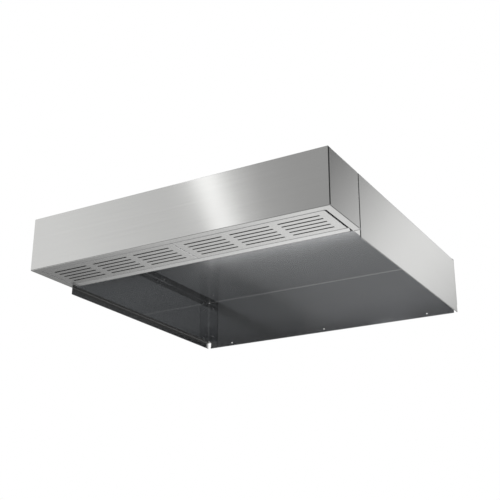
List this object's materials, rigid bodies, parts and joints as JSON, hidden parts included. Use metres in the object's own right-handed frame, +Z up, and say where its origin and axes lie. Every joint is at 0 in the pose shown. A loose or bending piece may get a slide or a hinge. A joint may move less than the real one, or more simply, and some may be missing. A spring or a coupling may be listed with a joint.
{
  "type": "pizza oven hood",
  "caption": "Folded stainless hood for a pizza deck oven: slotted header with lift-out grilles, open canopy with hemmed side skirts, and a round smoke outlet.",
  "frame": {"origin": "On the ground plane under the middle of the hood: z = 0 is the bottom edge of the skirts, x = 0 and y = 0 are the middle of the width and of the depth.", "axes": "+X to the hood's right seen from its front, +Y to the rear, +Z up. The fascia faces -Y."},
  "size_m": [1.11, 1.105, 0.279],
  "materials": {
    "outer": "fine brushed, satin",
    "inner": "mill finish, fairly bright",
    "underside": "fine brushed, satin",
    "collar": "rolled sheet, satin",
    "fasteners": "bright plated steel"
  },
  "bodies": {
    "hood": {"front_fascia": "outer", "left_cheek": "outer", "right_cheek": "outer", "left_side_panel": "outer", "right_side_panel": "outer", "header_rear_wall": "inner", "header_top_panel": "inner", "rear_panel": "inner", "canopy_roof": "inner", "bottom_frame": "underside", "rear_rail": "underside", "collar_ring": "collar", "outlet_collar": "collar", "ceiling_rivets": "fasteners", "rear_corner_rivets": "fasteners", "header_top_rivets": "fasteners", "collar_rivets": "fasteners", "fascia_screws": "fasteners", "joint_bolts": "fasteners", "joint_washers": "fasteners", "joint_nuts": "fasteners"},
    "left_grille": {"grille_left": "underside"},
    "right_grille": {"grille_right": "underside"}
  },
  "joints": [
    {"name": "left_grille_lift", "type": "slide", "parent": "hood", "child": "left_grille", "axis": [0, 0, 1], "range_m": [0, 0.12]},
    {"name": "right_grille_lift", "type": "slide", "parent": "hood", "child": "right_grille", "axis": [0, 0, 1], "range_m": [0, 0.12]}
  ]
}
